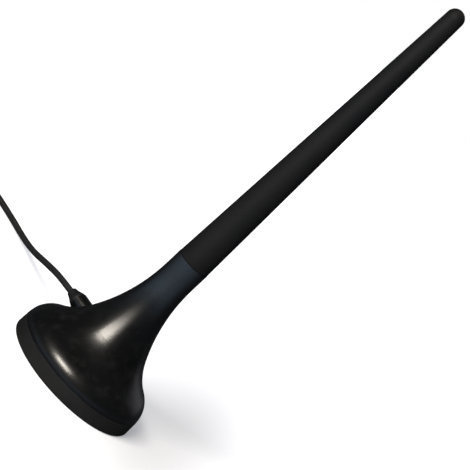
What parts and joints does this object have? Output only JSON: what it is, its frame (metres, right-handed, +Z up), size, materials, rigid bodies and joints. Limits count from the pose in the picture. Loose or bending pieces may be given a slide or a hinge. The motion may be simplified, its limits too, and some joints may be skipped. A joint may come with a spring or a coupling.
{
  "type": "magnetic mount antenna",
  "caption": "Small magnetic-base whip antenna: trumpet-shaped base, tapered rounded whip, thin coaxial cord wound up with a screw-on coaxial plug.",
  "frame": {"origin": "centre of the flat underside of the base, on the whip's axis", "axes": "+Z up along the whip; the cord leaves the base 155 degrees from +X, towards -X and +Y; the plug lies on the left and points along -Y"},
  "size_m": [0.0998, 0.0692, 0.1074],
  "materials": {
    "housing": "glossy moulded black plastic",
    "foot_rubber": "matte dark grey rubber",
    "pad_rubber": "matte black rubber",
    "magnet": "nickel-plated magnet",
    "tinned_steel": "tinned steel sheet",
    "boot_rubber": "satin black rubber",
    "braid": "tinned copper braid",
    "cord_core": "white translucent dielectric",
    "bare_copper": "bare copper, bright",
    "turned_brass": "turned brass",
    "sheath": "matte black flexible plastic",
    "cord_jacket": "satin black jacket",
    "tie_plastic": "black nylon strap",
    "gold_plated": "gold-plated brass",
    "white_dielectric": "smooth white plastic",
    "spring_bronze": "spring bronze",
    "gasket_rubber": "red-brown silicone rubber",
    "sleeve": "satin black shrink sleeve"
  },
  "bodies": {
    "antenna": {"base_housing": "housing", "foot_ring": "foot_rubber", "base_pad": "pad_rubber", "ring_magnet": "magnet", "ground_plate": "tinned_steel", "strain_relief": "boot_rubber", "braid_pigtail": "braid", "cord_dielectric": "cord_core", "centre_wire": "bare_copper", "whip_stud": "turned_brass", "loading_coil": "bare_copper", "rod_ferrule": "turned_brass", "radiator_rod": "bare_copper", "whip_sheath": "sheath", "cord_run": "cord_jacket", "cord_coil": "cord_jacket", "cord_tail": "cord_jacket", "coil_tie": "tie_plastic", "plug_body": "gold_plated", "plug_dielectric": "white_dielectric", "centre_contact": "gold_plated", "snap_ring": "spring_bronze", "gasket": "gasket_rubber", "plug_core": "cord_core", "plug_braid": "braid", "crimp_ferrule": "gold_plated", "heat_shrink": "sleeve"},
    "coupling nut": {"coupling_nut": "gold_plated"}
  },
  "joints": [
    {"name": "nut_turn", "type": "hinge", "parent": "antenna", "child": "coupling nut", "pos_m": [-0.0802, -0.0066, 0.0049], "axis": [0, -1, 0], "continuous": true}
  ]
}
